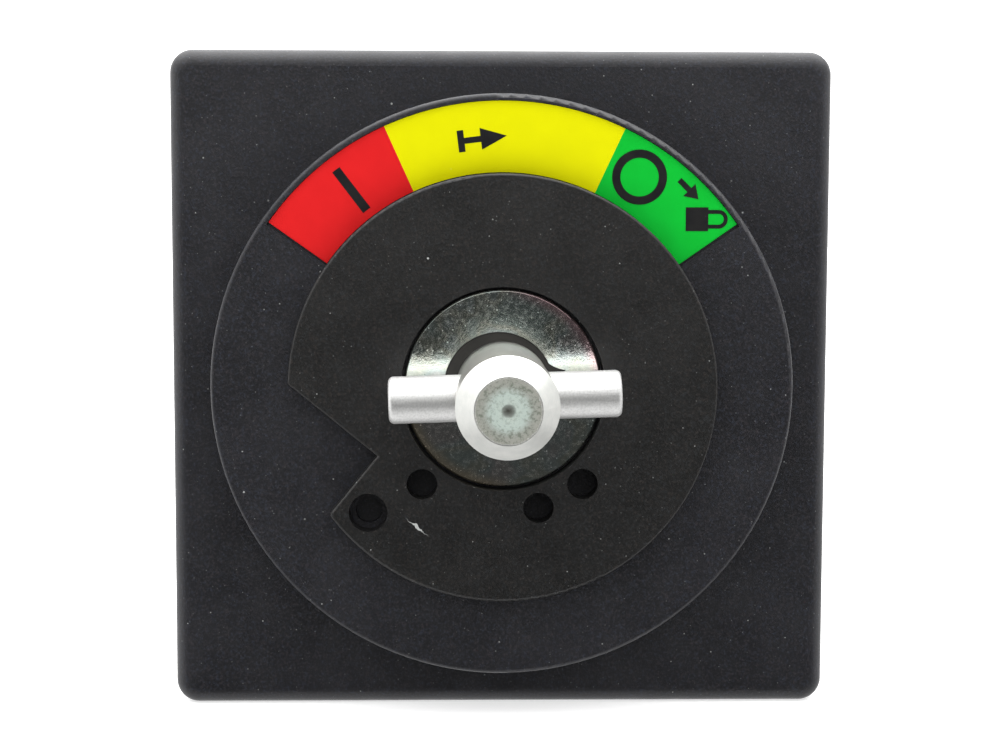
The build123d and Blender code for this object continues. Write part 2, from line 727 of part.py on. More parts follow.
def terminal_barrier():
    """Insulating wall between the two terminals, with a cap over the end of the shaft."""
    height = SIDE - 2 * WALL - 0.4
    foot_low = DECK_LOW - 3
    wall = block(BARRIER_WALL, height, 1.0, DECK_LOW)
    wall += disc(BARRIER_CAP_R, BARRIER_CAP_LOW, DECK_LOW)
    wall = fillet(edges_at(wall, BARRIER_CAP_LOW).filter_by(GeomType.CIRCLE), 1.0)
    wall -= disc(BARRIER_CAP_R - 2.5, BARRIER_CAP_LOW + 2.5, DECK_LOW + 1)
    for end in LEFT_RIGHT:
        y = end * BARRIER_SCREW_Y
        wall += block(10.0, 10.0, foot_low, DECK_LOW, BARRIER_FOOT_X, y)
        wall -= disc(BARRIER_SCREW_R + 0.2, foot_low - 1, DECK_LOW + 1, BARRIER_FOOT_X, y)
    return wall


def barrier_screws():
    screws = []
    seat = DECK_LOW - 3
    for end in LEFT_RIGHT:
        x = BARRIER_FOOT_X
        y = end * BARRIER_SCREW_Y
        head = fillet(edges_at(disc(2.9, seat - 2, seat, x, y), seat - 2), 0.8)
        screw = head + disc(BARRIER_SCREW_R, seat - 0.5, DECK_HIGH - 1, x, y)
        screws.append(screw - block(4.0, 0.7, seat - 3, seat - 1.2, x, y))
    return screws


def cover_seal():
    """Gasket between the base and the cover."""
    outer = SIDE - 1.6
    seal = square_slab(outer, CORNER_R - 0.8, BASE_TOP, COVER_LOW)
    return seal - square_slab(SIDE - 2 * WALL, CORNER_R - 1, BASE_TOP - 1, COVER_LOW + 1)


def cover_screws():
    """Long screws from the rear, through the base columns into the cover."""
    screws = []
    for side, end in CORNERS:
        x = side * COVER_SCREW_X
        y = end * COVER_SCREW_Y
        head = disc(COVER_SCREW_HEAD_R, COVER_SCREW_HEAD_LOW, COVER_SCREW_SEAT, x, y)
        head = fillet(edges_at(head, COVER_SCREW_HEAD_LOW), 0.6)
        screw = head + disc(COVER_SCREW_R, COVER_SCREW_SEAT - 1, COVER_LOW + COVER_INSERT_DEPTH, x, y)
        socket = Pos(x, y) * RegularPolygon(1.9, 6)
        screws.append(screw - raised(socket, COVER_SCREW_HEAD_LOW - 1, COVER_SCREW_HEAD_LOW + 2))
    return screws


def cover_inserts():
    places = [(side * COVER_SCREW_X, end * COVER_SCREW_Y) for side, end in CORNERS]
    high = COVER_LOW + COVER_INSERT_DEPTH
    return [ring(COVER_INSERT_R, COVER_SCREW_R, COVER_LOW, high, x, y) for x, y in places]


def mount_inserts():
    """Threaded brass inserts for fixing the switch from behind."""
    inserts = []
    for side, end in CORNERS:
        inserts.append(ring(INSERT_R, INSERT_BORE_R, 0, INSERT_DEPTH, side * INSERT_AT, end * INSERT_AT))
    return inserts


# ---- assembly ------------------------------------------------------------------------------
def main():
    os.makedirs("parts", exist_ok=True)

    save("front_cover", front_cover())
    save("dial_hub", dial_hub())
    save("hub_screws", *hub_screws())
    save("label_off", label_field(LABEL_FROM, LABEL_SPLITS[0]))
    save("label_trip", label_field(*LABEL_SPLITS))
    save("label_on", label_field(LABEL_SPLITS[1], LABEL_TO))
    save("label_symbols", *label_symbols())

    save("drive_shaft", drive_shaft())
    save("cross_pin", cross_pin())
    save("front_washer", front_washer())
    save("shaft_collar", shaft_collar())
    save("detent_wheel", detent_wheel())
    save("contact_rotor", contact_rotor())
    save("rear_blade", blade(REAR_BLADE_LOW))
    save("front_blade", blade(FRONT_BLADE_LOW))
    save("blade_spacer", blade_spacer())
    save("disc_springs", *disc_springs())
    save("blade_retainer", blade_retainer())
    save("retaining_ring", retaining_ring())

    save("shaft_bush", shaft_bush())
    save("shaft_seal", shaft_seal())
    save("thrust_washer", thrust_washer())
    save("rear_bush", rear_bush())
    save("mechanism_plate", mechanism_plate())
    save("plate_standoffs", *plate_standoffs())
    save("plate_screws", *plate_screws())
    save("detent_housings", *detent_housings())
    save("detent_balls", *detent_balls())
    save("detent_springs", *detent_springs())
    save("stop_pin", stop_pin())

    save("fixed_contact_left", fixed_contact(-1))
    save("fixed_contact_right", fixed_contact(1))
    save("terminal_studs", *terminal_studs())
    save("terminal_washers", *terminal_washers())
    save("spring_washers", *spring_washers())
    save("terminal_nuts", *terminal_nuts())

    save("base_housing", base_housing())
    save("terminal_barrier", terminal_barrier())
    save("barrier_screws", *barrier_screws())
    save("cover_seal", cover_seal())
    save("cover_screws", *cover_screws())
    save("cover_inserts", *cover_inserts())
    save("mount_inserts", *mount_inserts())


main()
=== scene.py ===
"""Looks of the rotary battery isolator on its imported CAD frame: materials, cut threads, floor,
studio light and camera. Metres, front along -Y, up along +Z."""
import json
from math import cos, pi, radians, sin, tau

import bmesh
import bpy
from mathutils import Matrix, Vector


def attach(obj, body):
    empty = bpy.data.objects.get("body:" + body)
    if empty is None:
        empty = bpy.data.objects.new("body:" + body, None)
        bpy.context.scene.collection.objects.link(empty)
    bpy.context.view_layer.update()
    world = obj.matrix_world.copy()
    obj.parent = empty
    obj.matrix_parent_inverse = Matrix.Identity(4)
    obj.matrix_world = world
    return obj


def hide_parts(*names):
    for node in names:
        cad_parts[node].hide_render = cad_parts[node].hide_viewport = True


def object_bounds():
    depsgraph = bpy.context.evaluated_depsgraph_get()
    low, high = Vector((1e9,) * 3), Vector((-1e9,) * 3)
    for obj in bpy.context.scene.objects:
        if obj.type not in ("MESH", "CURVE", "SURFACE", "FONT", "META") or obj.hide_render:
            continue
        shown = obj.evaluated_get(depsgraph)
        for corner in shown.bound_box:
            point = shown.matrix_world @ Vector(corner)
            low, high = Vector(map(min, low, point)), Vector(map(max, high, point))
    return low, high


MM = 0.001

# ---- camera, placed about the middle of the front ------------------------------------------
CAMERA_TARGET = Vector((-0.00014, -0.0590, 0.00093))
CAMERA_DISTANCE = 0.3685
CAMERA_ABOVE = radians(5.34)
CAMERA_LEFT = radians(1.38)
CAMERA_ROLL = radians(0.167)
CAMERA_LENS = 72.03

# ---- strength of the sky, by direction -----------------------------------------------------
FRONT_DARK = 0.05
ABOVE_LIGHT = 1.35
BELOW_LIGHT = 1.12
LEFT_EXTRA = 0.25
BACK_GLOW = 1.5
TOP_GLOW = 3.2

# where each part of the sky starts and where it is full, along one axis of a unit direction
ABOVE_FADE = (-0.02, 0.40)
BELOW_FADE = (-0.50, -0.85)
BEHIND_FADE = (-0.6, 0.8)
LEFT_FADE = (-0.2, -0.9)
FRONT_TO_BEHIND = (-0.80, -0.10)
BACK_GLOW_FADE = (0.62, 0.95)
TOP_GLOW_FADE = (0.45, 0.90)

# ---- studio, in metres ---------------------------------------------------------------------
FLOOR_R = 3.0
TENT_R = 2.9
FLOOR_GLOW = 0.62
FLOOR_ALBEDO = 0.62
TENT_GLOW = 1.0
TENT_ALBEDO = 0.5
KEY_PLACE = Vector((-0.12, -0.55, 0.75))
KEY_SIZE = (0.7, 0.5)
KEY_POWER = 1.0

# ---- places on the object that the finishes depend on, in millimetres -----------------------
SHAFT_TIP = 111.3
CHAMFER_LOW = 106.2
END_FACE_R = 5.55
CENTRE_MARK_R = 1.2
WASHER_R = 17.5
NICK_FROM = (-17.4, -22.6)
NICK_TO = (-12.8, -26.15)

# colours of the shaft's end face, from its centre (0) to its edge (1)
END_FACE_RINGS = [
    (0.0, (0.17, 0.17, 0.15)),
    (0.16, (0.20, 0.22, 0.20)),
    (0.24, (0.38, 0.44, 0.40)),
    (0.52, (0.36, 0.42, 0.385)),
    (0.74, (0.25, 0.26, 0.23)),
    (0.93, (0.26, 0.26, 0.23)),
    (1.0, (0.30, 0.30, 0.27)),
]

# M10 stud: shank and hexagon head, heights above the rear mounting face
STUD_X = 43.0
STUD_LOW = 1.0
STUD_THREAD_END = 16.0
STUD_HEAD_LOW = 26.0
STUD_HEAD_HIGH = 32.4
STUD_R = 5.0
STUD_CORE_R = 4.25
STUD_PITCH = 1.5
HEX_FLATS = 16.0

# M6 insert
INSERT_AT = 50.0
INSERT_R = 4.5
INSERT_DEPTH = 12.0
INSERT_CREST_R = 2.5
INSERT_ROOT_R = 3.0
INSERT_PITCH = 1.0

LEFT_RIGHT = (-1, 1)


# ---- building a material -------------------------------------------------------------------
class Surface:
    """One material being put together: each call adds a node and gives back its output."""

    def __init__(self, name, metallic=0.0, specular=0.5):
        self.material = bpy.data.materials.new(name)
        self.material.use_nodes = True
        self.tree = self.material.node_tree
        self.shader = self.tree.nodes["Principled BSDF"]
        self.shader.inputs["Metallic"].default_value = metallic
        self.shader.inputs["Specular IOR Level"].default_value = specular
        self.place = self.node("ShaderNodeTexCoord").outputs["Object"]

    def node(self, kind, **settings):
        made = self.tree.nodes.new(kind)
        for name, value in settings.items():
            setattr(made, name, value)
        return made

    def feed(self, socket, value):
        """Link the socket to another node's output, or give it a plain value."""
        if isinstance(value, bpy.types.NodeSocket):
            self.tree.links.new(value, socket)
        else:
            socket.default_value = value

    def stretched(self, along):
        """Coordinates scaled by a factor for each axis, for streaks and long grain."""
        mapping = self.node("ShaderNodeMapping")
        self.feed(mapping.inputs["Vector"], self.place)
        mapping.inputs["Scale"].default_value = along
        return mapping.outputs["Vector"]

    def noise(self, size, detail=3.0, roughness=0.5, place=None):
        """Noise from 0 to 1 with blotches about size millimetres across."""
        node = self.node("ShaderNodeTexNoise")
        self.feed(node.inputs["Vector"], place or self.place)
        node.inputs["Scale"].default_value = 1 / (size * MM)
        node.inputs["Detail"].default_value = detail
        node.inputs["Roughness"].default_value = roughness
        return node.outputs["Fac"]

    def specks(self, spacing, radius):
        """Small scattered dots, each of its own strength up to 1. Both lengths in millimetres."""
        node = self.node("ShaderNodeTexVoronoi")
        self.feed(node.inputs["Vector"], self.place)
        node.inputs["Scale"].default_value = 1 / (spacing * MM)
        limit = radius / spacing
        dots = self.span(node.outputs["Distance"], (limit, 0.4 * limit), (0.0, 1.0))
        chance = self.node("ShaderNodeSeparateColor")
        self.feed(chance.inputs[0], node.outputs["Color"])
        return self.math("MULTIPLY", dots, self.math("POWER", chance.outputs[0], 1.5))

    def math(self, operation, first, second=0.0):
        node = self.node("ShaderNodeMath", operation=operation)
        self.feed(node.inputs[0], first)
        self.feed(node.inputs[1], second)
        return node.outputs[0]

    def span(self, value, source, target):
        """Map one range onto another with soft ends."""
        node = self.node("ShaderNodeMapRange", interpolation_type="SMOOTHSTEP")
        self.feed(node.inputs["Value"], value)
        for label, number in zip(("From Min", "From Max", "To Min", "To Max"), (*source, *target)):
            node.inputs[label].default_value = number
        return node.outputs["Result"]

    def blend(self, share, first, second):
        """Mix two colours; share 0 gives the first."""
        node = self.node("ShaderNodeMix", data_type="RGBA")
        self.feed(node.inputs["Factor"], share)
        for socket, value in zip((node.inputs[6], node.inputs[7]), (first, second)):
            self.feed(socket, (*value, 1.0) if isinstance(value, tuple) else value)
        return node.outputs[2]

    def shades(self, value, stops):
        """Colour ramp from (position, colour) pairs."""
        ramp = self.node("ShaderNodeValToRGB")
        elements = ramp.color_ramp.elements
        while len(elements) < len(stops):
            elements.new(0.5)
        for element, (position, colour) in zip(elements, stops):
            element.position = position
            element.color = (*colour, 1.0)
        self.feed(ramp.inputs["Fac"], value)
        return ramp.outputs["Color"]

    def radius(self, x=0.0, z=0.0):
        """Distance in millimetres from the line through x, z that runs along the shaft."""
        axes = self.node("ShaderNodeSeparateXYZ")
        self.feed(axes.inputs[0], self.place)
        across = self.math("SUBTRACT", self.math("DIVIDE", axes.outputs["X"], MM), x)
        upward = self.math("SUBTRACT", self.math("DIVIDE", axes.outputs["Z"], MM), z)
        squares = [self.math("MULTIPLY", side, side) for side in (across, upward)]
        return self.math("SQRT", self.math("ADD", *squares))

    def slant(self):
        """X plus Z in millimetres: positive towards the upper right of the front."""
        axes = self.node("ShaderNodeSeparateXYZ")
        self.feed(axes.inputs[0], self.place)
        return self.math("DIVIDE", self.math("ADD", axes.outputs["X"], axes.outputs["Z"]), MM)

    def height(self):
        """Millimetres above the rear mounting face."""
        axes = self.node("ShaderNodeSeparateXYZ")
        self.feed(axes.inputs[0], self.place)
        return self.math("DIVIDE", axes.outputs["Y"], -MM)

    def relief(self, height, depth, under=None):
        """Bump of a given depth in millimetres, over another bump if one is given."""
        node = self.node("ShaderNodeBump")
        node.inputs["Distance"].default_value = depth * MM
        self.feed(node.inputs["Height"], height)
        if under is not None:
            self.feed(node.inputs["Normal"], under)
        return node.outputs["Normal"]

    def done(self, colour, roughness, normal):
        base = (*colour, 1.0) if isinstance(colour, tuple) else colour
        self.feed(self.shader.inputs["Base Color"], base)
        self.feed(self.shader.inputs["Roughness"], roughness)
        self.feed(self.shader.inputs["Normal"], normal)
        return self.material


# ---- mouldings -----------------------------------------------------------------------------
def moulding(name, dark, light, dust=(0.30, 0.31, 0.30), specular=0.5, scratch=False):
    """Spark-eroded black plastic with a fine grain, faint handling marks and grains of dust."""
    surface = Surface(name, specular=specular)
    clouds = surface.noise(16, detail=5)
    grain = surface.noise(0.42, detail=3, roughness=0.6)
    tint = surface.noise(0.7, detail=2)
    colour = surface.blend(surface.span(clouds, (0.35, 0.65), (0, 1)), dark, light)
    warm = (3.4 * light[0], 2.7 * light[1], 2.4 * light[2])
    cool = (2.3 * light[0], 2.8 * light[1], 3.4 * light[2])
    pale = surface.blend(surface.span(tint, (0.4, 0.6), (0, 1)), warm, cool)
    colour = surface.blend(surface.span(grain, (0.42, 0.78), (0, 0.8)), colour, pale)
    grit = surface.math("MULTIPLY", surface.specks(1.1, 0.13), 0.30)
    dirt = surface.math("MAXIMUM", grit, surface.math("MULTIPLY", surface.specks(2.3, 0.17), 0.7))
    dirt = surface.math("MAXIMUM", dirt, surface.specks(6.5, 0.26))
    if scratch:
        dirt = surface.math("MAXIMUM", dirt, nick(surface))
    colour = surface.blend(dirt, colour, dust)
    roughness = surface.span(surface.noise(5, detail=4), (0.3, 0.7), (0.40, 0.46))
    return surface.done(colour, roughness, surface.relief(grain, 0.045))


def nick(surface):
    """1 along one short ragged scratch on the dial hub."""
    middle = [(a + b) / 2 for a, b in zip(NICK_FROM, NICK_TO)]
    run = Vector((NICK_TO[0] - NICK_FROM[0], NICK_TO[1] - NICK_FROM[1]))
    along = run.normalized()
    axes = surface.node("ShaderNodeSeparateXYZ")
    surface.feed(axes.inputs[0], surface.place)
    across = surface.math("SUBTRACT", surface.math("DIVIDE", axes.outputs["X"], MM), middle[0])
    upward = surface.math("SUBTRACT", surface.math("DIVIDE", axes.outputs["Z"], MM), middle[1])

    def times(first, second):
        return surface.math("MULTIPLY", first, second)

    forward = surface.math("ADD", times(across, along.x), times(upward, along.y))
    sideways = surface.math("SUBTRACT", times(upward, along.x), times(across, along.y))
    wobble = surface.math("MULTIPLY", surface.math("SUBTRACT", surface.noise(1.1, detail=4), 0.5), 1.3)
    offset = surface.math("ABSOLUTE", surface.math("ADD", sideways, wobble))
    half = run.length / 2
    reach = surface.math("ABSOLUTE", forward)
    strength = surface.span(reach, (half, 0.2 * half), (0.0, 1.0))
    thickness = surface.span(reach, (0.5 * half, 0.1 * half), (0.0, 0.17))
    edge = surface.math("SUBTRACT", offset, thickness)
    return surface.math("MULTIPLY", strength, surface.span(edge, (0.12, 0.03), (0, 1)))


def film(name, colour, deeper):
    """Printed label film: nearly even ink, a little softer in patches, with a few grains of dust."""
    surface = Surface(name, specular=0.03)
    ink = surface.blend(surface.span(surface.noise(4, detail=4), (0.3, 0.7), (0, 1)), colour, deeper)
    paler = tuple(0.5 * c + 0.4 for c in colour)
    ink = surface.blend(surface.specks(5.0, 0.22), ink, paler)
    roughness = surface.span(surface.noise(2, detail=3), (0.3, 0.7), (0.38, 0.5))
    return surface.done(ink, roughness, surface.relief(surface.noise(0.25, detail=2), 0.004))


def plain_moulding(name, dark, light, roughness=(0.4, 0.55), grain_size=0.6):
    """Inner plastic or rubber part with a slight flow pattern."""
    surface = Surface(name)
    flow = surface.noise(7, detail=5, roughness=0.6)
    colour = surface.blend(surface.span(flow, (0.3, 0.7), (0, 1)), dark, light)
    grain = surface.noise(grain_size, detail=3)
    rough = surface.span(grain, (0.3, 0.7), roughness)
    return surface.done(colour, rough, surface.relief(grain, 0.012))


# ---- metals --------------------------------------------------------------------------------
def metal(name, base, stain, roughness, tone_size=3.0, marks=0.006, mark_size=0.4, along=None):
    """Plated or turned metal: tone that drifts, dull patches, and fine tool marks."""
    surface = Surface(name, metallic=1.0)
    tone = surface.noise(tone_size, detail=6, roughness=0.65)
    colour = surface.blend(surface.span(tone, (0.35, 0.7), (0, 1)), base, stain)
    place = surface.stretched(along) if along else None
    marking = surface.noise(mark_size, detail=4, place=place)
    worn = surface.math("MULTIPLY", surface.math("ADD", tone, marking), 0.5)
    rough = surface.span(worn, (0.35, 0.65), roughness)
    return surface.done(colour, rough, surface.relief(marking, marks))


def washer_zinc(name):
    """Bright passivated zinc: mottled grey-green, with painted highlights on the outer rim, golden at
    the lower left and pinkish at the upper right.
    """
    surface = Surface(name, metallic=1.0)
    mottle = surface.noise(0.75, detail=8, roughness=0.75)
    drift = surface.noise(7, detail=2)
    cloud = surface.span(mottle, (0.40, 0.66), (0, 1))
    greys = surface.blend(cloud, (0.50, 0.57, 0.53), (0.90, 0.93, 0.88))
    tints = surface.shades(drift, [(0.36, (0.66, 0.80, 0.76)), (0.46, (0.80, 0.80, 0.64)),
                                   (0.54, (0.70, 0.82, 0.82)), (0.64, (0.84, 0.74, 0.74))])
    colour = surface.blend(0.45, greys, tints)
    # painted highlights: the outer band of the rim is tinted lighter by side, golden at the lower left
    # and pinkish at the upper right
    highlight_rim_band = surface.span(surface.radius(), (WASHER_R - 2.6, WASHER_R - 0.3), (0, 0.85))
    slant = surface.slant()
    gold_highlight = surface.math("MULTIPLY", highlight_rim_band, surface.span(slant, (-0.7 * WASHER_R, -1.2 * WASHER_R), (0, 1)))
    pink_highlight = surface.math("MULTIPLY", highlight_rim_band, surface.span(slant, (0.9 * WASHER_R, 1.3 * WASHER_R), (0, 1)))
    colour = surface.blend(gold_highlight, colour, (0.98, 0.84, 0.62))
    colour = surface.blend(pink_highlight, colour, (0.92, 0.62, 0.66))
    spangle = surface.specks(0.8, 0.16)
    rough = surface.span(mottle, (0.40, 0.66), (0.08, 0.22))
    rough = surface.math("ADD", rough, surface.math("MULTIPLY", spangle, 0.40))
    fine = surface.relief(surface.noise(0.32, detail=4, roughness=0.7), 0.018)
    return surface.done(colour, rough, surface.relief(mottle, 0.012, fine))


def shaft_steel(name):
    """Zinc-plated turned steel: bright flanks, a chamfer painted lighter than the flanks as a highlight,
    and a duller end face with rings and stains.
    """
    surface = Surface(name, metallic=1.0)
    radius = surface.radius()
    tone = surface.noise(1.6, detail=6, roughness=0.7)
    drift = surface.span(tone, (0.35, 0.7), (0, 1))
    flank = surface.blend(drift, (0.44, 0.44, 0.415), (0.54, 0.54, 0.51))
    # painted highlight: the chamfer gets a lighter base colour than the flank of the same plating
    cone_painted_highlight = surface.blend(drift, (0.68, 0.69, 0.66), (0.76, 0.76, 0.73))
    on_cone = surface.span(surface.height(), (CHAMFER_LOW - 0.1, CHAMFER_LOW + 0.1), (0, 1))
    flank = surface.blend(on_cone, flank, cone_painted_highlight)
    rings = surface.shades(surface.math("DIVIDE", radius, END_FACE_R), END_FACE_RINGS)
    blotches = surface.noise(0.8, detail=8, roughness=0.8)
    outer = surface.span(radius, (0.40 * END_FACE_R, 0.80 * END_FACE_R), (0.35, 0.9))
    stains = surface.math("MULTIPLY", surface.span(blotches, (0.47, 0.60), (0, 1)), outer)
    end = surface.blend(stains, rings, (0.12, 0.135, 0.105))
    on_end = surface.span(surface.height(), (SHAFT_TIP - 0.20, SHAFT_TIP - 0.04), (0, 1))
    wander = surface.math("MULTIPLY", surface.math("SUBTRACT", blotches, 0.5), 1.6)
    ragged = surface.math("ADD", radius, wander)
    near = surface.span(ragged, (END_FACE_R - 0.05, END_FACE_R - 0.35), (0, 1))
    centre = surface.span(radius, (CENTRE_MARK_R + 0.2, CENTRE_MARK_R), (0, 1))
    mask = surface.math("MAXIMUM", surface.math("MULTIPLY", on_end, near), centre)
    colour = surface.blend(mask, flank, end)
    duller = surface.math("MULTIPLY", mask, 0.16)
    rough = surface.math("ADD", surface.span(tone, (0.3, 0.7), (0.34, 0.46)), duller)
    surface.feed(surface.shader.inputs["Metallic"], surface.span(mask, (0.0, 1.0), (1.0, 0.4)))
    turning = surface.math("SINE", surface.math("MULTIPLY", radius, tau / 0.28))
    fine = surface.relief(surface.noise(0.3, detail=4), 0.008)
    return surface.done(colour, rough, surface.relief(turning, 0.003, fine))


def make_materials():
    """One material for each of the record's slots."""
    lengthwise = (0.05, 1.0, 1.0)
    return {
        "black_moulding": moulding("black_moulding", (0.0044, 0.0045, 0.0066), (0.0072, 0.0073, 0.0100)),
        "base_moulding": moulding("base_moulding", (0.010, 0.010, 0.0105), (0.016, 0.016, 0.0165)),
        "print_red": film("print_red", (0.475, 0.011, 0.012), (0.45, 0.010, 0.011)),
        "print_yellow": film("print_yellow", (0.500, 0.490, 0.0005), (0.485, 0.475, 0.0005)),
        "print_green": film("print_green", (0.003, 0.33, 0.024), (0.003, 0.31, 0.022)),
        "print_black": film("print_black", (0.009, 0.009, 0.010), (0.013, 0.013, 0.013)),
        "turned_steel": shaft_steel("turned_steel"),
        "pin_steel": metal("pin_steel", (0.80, 0.80, 0.79), (0.66, 0.66, 0.65), (0.46, 0.58),
                           tone_size=0.35, marks=0.02, mark_size=0.16, along=lengthwise),
        "zinc_washer": washer_zinc("zinc_washer"),
        "zinc_steel": metal("zinc_steel", (0.42, 0.45, 0.44), (0.50, 0.50, 0.46), (0.24, 0.42)),
        "spring_steel": metal("spring_steel", (0.30, 0.30, 0.31), (0.38, 0.37, 0.36), (0.30, 0.45)),
        "wheel_steel": metal("wheel_steel", (0.40, 0.40, 0.41), (0.46, 0.46, 0.46), (0.38, 0.52)),
        "copper": metal("copper", (0.72, 0.36, 0.22), (0.55, 0.26, 0.16), (0.25, 0.42)),
        "brass": metal("brass", (0.74, 0.55, 0.27), (0.60, 0.43, 0.20), (0.24, 0.38)),
        "bronze": metal("bronze", (0.52, 0.34, 0.18), (0.42, 0.27, 0.14), (0.35, 0.50)),
        "collar_plastic": plain_moulding("collar_plastic", (0.011, 0.010, 0.008), (0.019, 0.017, 0.014)),
        "natural_acetal": plain_moulding("natural_acetal", (0.72, 0.70, 0.64), (0.78, 0.76, 0.70)),
        "brown_thermoset": plain_moulding("brown_thermoset", (0.10, 0.045, 0.024), (0.15, 0.070, 0.038)),
        "black_rubber": plain_moulding("black_rubber", (0.015, 0.015, 0.015), (0.026, 0.026, 0.026),
                                       roughness=(0.6, 0.8)),
    }


def paint(piece, material):
    piece.data.materials.clear()
    piece.data.materials.append(material)


def paint_nodes(materials):
    """Give every CAD node the finish of its slot; the dial hub alone carries the nick."""
    for part in frame["record"]["subparts"]:
        paint(frame["nodes"][part["node"]], materials[part["material_slot"]])
    hub = moulding("hub_moulding", (0.0034, 0.0033, 0.0031), (0.0060, 0.0057, 0.0054), scratch=True)
    paint(frame["nodes"]["dial_hub"], hub)


# ---- threads -------------------------------------------------------------------------------
def at_height(x, z, radius, angle, height):
    """Point in the row frame, from millimetres about an axis that runs along the shaft."""
    return Vector((x + radius * cos(angle), -height, z + radius * sin(angle))) * MM


def add_ring(mesh, x, z, height, radius_at, segments):
    """Closed loop of vertices whose radius can change with the angle."""
    angles = [tau * step / segments for step in range(segments)]
    return [mesh.verts.new(at_height(x, z, radius_at(angle), angle, height)) for angle in angles]


def bridge(mesh, first, second):
    """Quads between two loops with the same count."""
    count = len(first)
    for index in range(count):
        following = (index + 1) % count
        mesh.faces.new((first[index], first[following], second[following], second[index]))


def thread_rings(mesh, x, z, low, high, core, crest, pitch, segments=64):
    """Loops that follow a V thread between two heights, fading out at both ends."""
    steps = round((high - low) / pitch * 8)
    loops = []
    for step in range(steps + 1):
        height = low + (high - low) * step / steps
        fade = min(1.0, (height - low) / (0.5 * pitch), (high - height) / (0.5 * pitch))

        def radius_at(angle, height=height, fade=fade):
            turn = (height / pitch - angle / tau) % 1.0
            ridge = 1 - abs(2 * turn - 1)
            return core + (crest - core) * ridge * fade
        loops.append(add_ring(mesh, x, z, height, radius_at, segments))
    for first, second in zip(loops, loops[1:]):
        bridge(mesh, first, second)
    return loops[0], loops[-1]


def round_ring(mesh, x, z, height, radius, segments=64):
    return add_ring(mesh, x, z, height, lambda angle: radius, segments)


def hex_ring(mesh, x, height, flats, segments=66):
    """Hexagonal loop, flat sides up and down."""
    def radius_at(angle):
        return flats / 2 / cos((angle + pi / 6) % (pi / 3) - pi / 6)
    return add_ring(mesh, x, 0, height, radius_at, segments)


def finish_piece(name, mesh, material, smooth_below=35):
    """Turn the mesh into an object, smooth where its faces meet at a low angle."""
    bmesh.ops.recalc_face_normals(mesh, faces=mesh.faces)
    limit = radians(smooth_below)
    for face in mesh.faces:
        face.smooth = True
    for edge in mesh.edges:
        edge.smooth = len(edge.link_faces) == 2 and edge.calc_face_angle(0) < limit
    data = bpy.data.meshes.new(name)
    mesh.to_mesh(data)
    mesh.free()
    piece = bpy.data.objects.new(name, data)
    bpy.context.scene.collection.objects.link(piece)
    paint(piece, material)
    return piece


def make_stud(side, material):
    """Terminal bolt with its thread cut, standing for the plain CAD one."""
    x = side * STUD_X
    mesh = bmesh.new()
    tip = round_ring(mesh, x, 0, STUD_LOW, STUD_CORE_R - 0.3)
    start, end = thread_rings(mesh, x, 0, STUD_LOW + 0.5, STUD_THREAD_END,
                              STUD_CORE_R, STUD_R, STUD_PITCH)
    mesh.faces.new(tip)
    bridge(mesh, tip, start)
    shoulder = round_ring(mesh, x, 0, STUD_THREAD_END + 0.4, STUD_R)
    shank = round_ring(mesh, x, 0, STUD_HEAD_LOW + 0.2, STUD_R)
    bridge(mesh, end, shoulder)
    bridge(mesh, shoulder, shank)
    mesh.faces.new(shank)

    rounds = HEX_FLATS / 2 - 0.2
    hex_heights = (STUD_HEAD_LOW, STUD_HEAD_HIGH - 1.0)
    loops = [hex_ring(mesh, x, height, HEX_FLATS) for height in hex_heights]
    loops.append(round_ring(mesh, x, 0, STUD_HEAD_HIGH, rounds, segments=66))
    for first, second in zip(loops, loops[1:]):
        bridge(mesh, first, second)
    mesh.faces.new(loops[0])
    mesh.faces.new(loops[-1])
    name = "stud_left" if side < 0 else "stud_right"
    piece = finish_piece(name, mesh, material)
    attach(piece, "housing")
    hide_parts("terminal_studs")


def make_insert(side, end, material):
    """Brass insert with its thread cut and its mouth chamfered."""
    x = side * INSERT_AT
    z = end * INSERT_AT
    mesh = bmesh.new()
    mouth = INSERT_ROOT_R + 0.15
    outer_low = round_ring(mesh, x, z, 0.15, INSERT_R)
    face_rim = round_ring(mesh, x, z, 0.0, INSERT_R - 0.15)
    face_bore = round_ring(mesh, x, z, 0.0, mouth)
    start, finish = thread_rings(mesh, x, z, 0.5, INSERT_DEPTH - 0.5,
                                 INSERT_ROOT_R, INSERT_CREST_R, INSERT_PITCH)
    back_bore = round_ring(mesh, x, z, INSERT_DEPTH, mouth)
    back_rim = round_ring(mesh, x, z, INSERT_DEPTH, INSERT_R)
    loops = (outer_low, face_rim, face_bore, start)
    for first, second in zip(loops, loops[1:]):
        bridge(mesh, first, second)
    loops = (finish, back_bore, back_rim, outer_low)
    for first, second in zip(loops, loops[1:]):
        bridge(mesh, first, second)
    name = "insert_" + ("lower_" if end < 0 else "upper_") + ("left" if side < 0 else "right")
    piece = finish_piece(name, mesh, material)
    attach(piece, "housing")
    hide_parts("mount_inserts")


# ---- studio --------------------------------------------------------------------------------
def glowing_white(name, glow, albedo):
    """Matt pale paper that also glows a little, so that it photographs as clean white."""
    surface = Surface(name, specular=0.1)
    surface.shader.inputs["Emission Color"].default_value = (1, 1, 1, 1)
    surface.shader.inputs["Emission Strength"].default_value = glow
    tooth = surface.noise(30, detail=4)
    shade = surface.blend(tooth, (albedo, albedo, albedo), (albedo + 0.02, albedo + 0.02, albedo + 0.02))
    return surface.done(shade, 0.9, surface.relief(tooth, 0.05))


